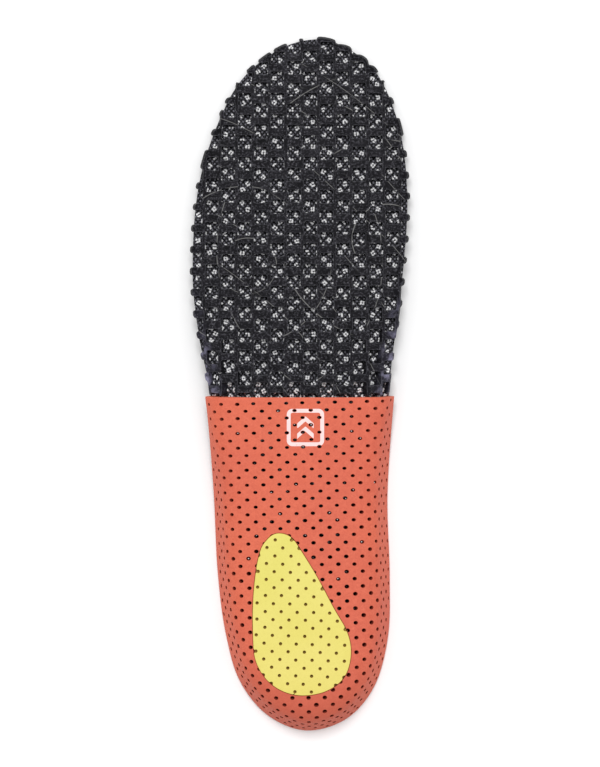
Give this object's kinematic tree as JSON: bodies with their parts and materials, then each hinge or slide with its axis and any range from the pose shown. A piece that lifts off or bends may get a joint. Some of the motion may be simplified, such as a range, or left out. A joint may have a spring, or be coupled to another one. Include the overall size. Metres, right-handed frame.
{
  "type": "cushioned insole",
  "caption": "Full-length shoe insole with an open-cell cushioning forefoot, a perforated foam heel cup and a teardrop heel pad, shown underside up.",
  "frame": {"origin": "middle of the bounding box in plan, on the plane that the heel cup's rim and the toe rest on", "axes": "+Z out of the underside of the insole, which faces up; +Y towards the toes; +X towards the inner, big toe side of the right foot"},
  "size_m": [0.0852, 0.2694, 0.017],
  "materials": {
    "mesh_fabric": "open black knitted mesh with small pale flecks",
    "lattice_foam": "moulded charcoal rubbery foam, satin, with faint flow marks",
    "shell_foam": "coral closed-cell foam, matt, punched with small round holes",
    "pad_foam": "pale yellow soft foam, matt, punched with small round holes"
  },
  "bodies": {
    "root": {"top_cover": "mesh_fabric", "forefoot_lattice": "lattice_foam", "heel_shell": "shell_foam", "heel_pad": "pad_foam"}
  },
  "joints": []
}
